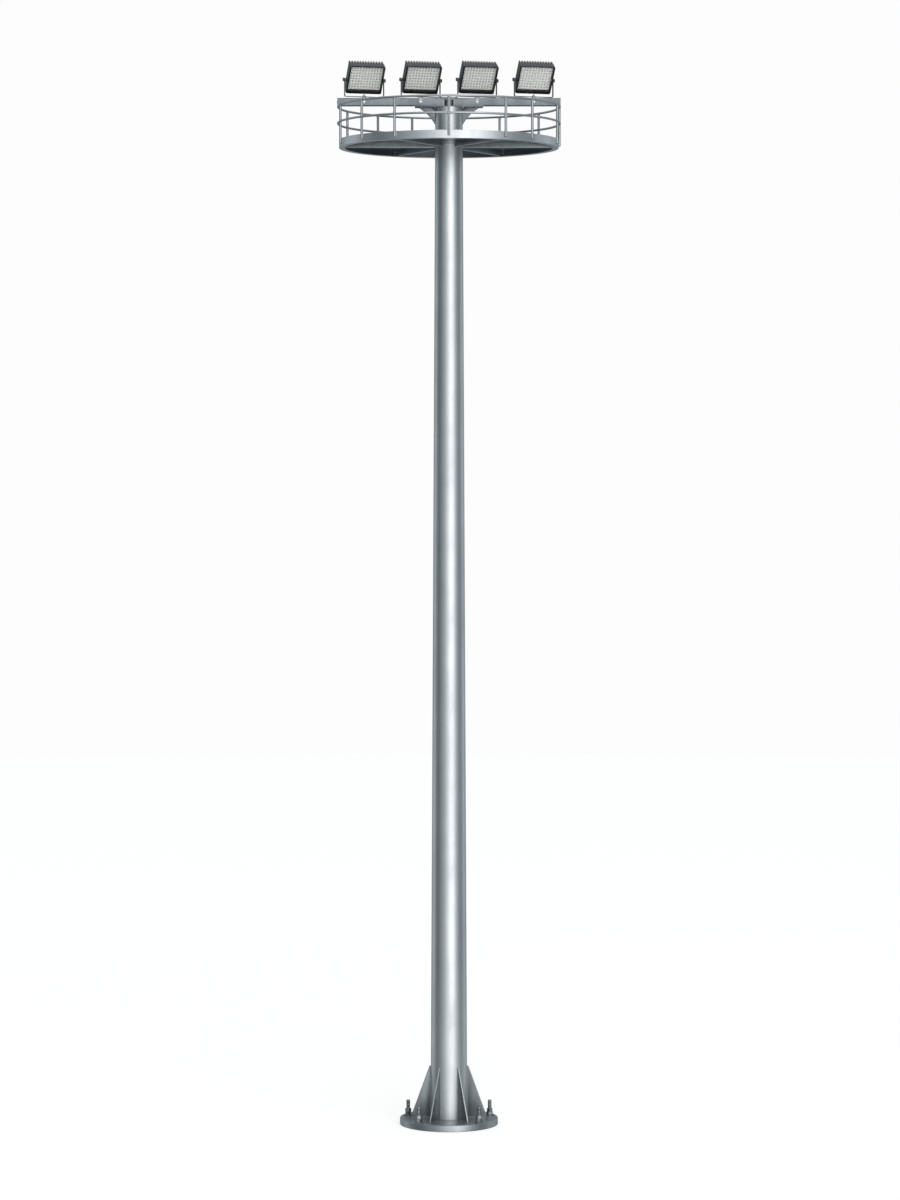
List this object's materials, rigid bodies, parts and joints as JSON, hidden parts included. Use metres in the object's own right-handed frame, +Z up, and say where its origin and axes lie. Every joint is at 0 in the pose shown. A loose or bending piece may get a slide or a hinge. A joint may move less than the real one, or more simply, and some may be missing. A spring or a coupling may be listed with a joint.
{
  "type": "high mast floodlight tower",
  "caption": "Tapered round steel mast on a gusseted base plate, with a round railed platform and a crossbeam of aimable LED floodlights.",
  "frame": {"origin": "centre of the underside of the base plate, on the foundation", "axes": "+Z up along the mast; -Y is the front, which the floodlights look out over; +X is to the right seen from the front"},
  "size_m": [4.2081, 4.214, 19.9667],
  "materials": {
    "galvanised": "hot-dip galvanised, weathered to a satin blue-grey",
    "galvanised_tube": "hot-dip galvanised tube, satin",
    "deck_steel": "galvanised plate, dull",
    "zinc_fixings": "zinc plated",
    "painted_steel": "dark grey powder coat",
    "black_fixings": "dark coated steel",
    "die_cast": "dark grey powder coat on die-cast aluminium",
    "black_frame": "satin black powder coat",
    "led_board": "white coated board",
    "lens_glass": "clear toughened glass"
  },
  "bodies": {
    "mast": {"base_plate": "galvanised", "base_gussets": "galvanised", "anchor_studs": "zinc_fixings", "anchor_nuts": "zinc_fixings", "anchor_washers": "zinc_fixings", "mast_shaft": "galvanised", "deck_collar": "galvanised", "deck_arms": "galvanised", "deck_rim": "galvanised", "deck_plate": "deck_steel", "guardrail_posts": "galvanised_tube", "mid_rail": "galvanised_tube", "top_rail": "galvanised_tube", "head_plate": "galvanised", "hub_post": "galvanised", "crossbeam": "galvanised", "haunches": "galvanised", "splice_plate": "galvanised", "beam_clamps": "zinc_fixings"},
    "yoke1": {"lamp1_yoke": "painted_steel"},
    "lamp1": {"lamp1_pivots": "black_fixings", "lamp1_housing": "die_cast", "lamp1_bezel": "black_frame", "lamp1_panel": "led_board", "lamp1_lens": "lens_glass"},
    "yoke2": {"lamp2_yoke": "painted_steel"},
    "lamp2": {"lamp2_pivots": "black_fixings", "lamp2_housing": "die_cast", "lamp2_bezel": "black_frame", "lamp2_panel": "led_board", "lamp2_lens": "lens_glass"},
    "yoke3": {"lamp3_yoke": "painted_steel"},
    "lamp3": {"lamp3_pivots": "black_fixings", "lamp3_housing": "die_cast", "lamp3_bezel": "black_frame", "lamp3_panel": "led_board", "lamp3_lens": "lens_glass"},
    "yoke4": {"lamp4_yoke": "painted_steel"},
    "lamp4": {"lamp4_pivots": "black_fixings", "lamp4_housing": "die_cast", "lamp4_bezel": "black_frame", "lamp4_panel": "led_board", "lamp4_lens": "lens_glass"}
  },
  "joints": [
    {"name": "lamp1_pan", "type": "hinge", "parent": "mast", "child": "yoke1", "pos_m": [-1.593, 0, 19.299], "axis": [0, 0, 1], "range_deg": [-77, 43]},
    {"name": "lamp1_tilt", "type": "hinge", "parent": "yoke1", "child": "lamp1", "pos_m": [-1.593, 0, 19.614], "axis": [0.9563, 0.2924, 0], "range_deg": [-65, 45]},
    {"name": "lamp2_pan", "type": "hinge", "parent": "mast", "child": "yoke2", "pos_m": [-0.531, 0, 19.299], "axis": [0, 0, 1], "range_deg": [-77, 43]},
    {"name": "lamp2_tilt", "type": "hinge", "parent": "yoke2", "child": "lamp2", "pos_m": [-0.531, 0, 19.614], "axis": [0.9563, 0.2924, 0], "range_deg": [-65, 45]},
    {"name": "lamp3_pan", "type": "hinge", "parent": "mast", "child": "yoke3", "pos_m": [0.531, 0, 19.299], "axis": [0, 0, 1], "range_deg": [-77, 43]},
    {"name": "lamp3_tilt", "type": "hinge", "parent": "yoke3", "child": "lamp3", "pos_m": [0.531, 0, 19.614], "axis": [0.9563, 0.2924, 0], "range_deg": [-65, 45]},
    {"name": "lamp4_pan", "type": "hinge", "parent": "mast", "child": "yoke4", "pos_m": [1.593, 0, 19.299], "axis": [0, 0, 1], "range_deg": [-77, 43]},
    {"name": "lamp4_tilt", "type": "hinge", "parent": "yoke4", "child": "lamp4", "pos_m": [1.593, 0, 19.614], "axis": [0.9563, 0.2924, 0], "range_deg": [-65, 45]}
  ]
}
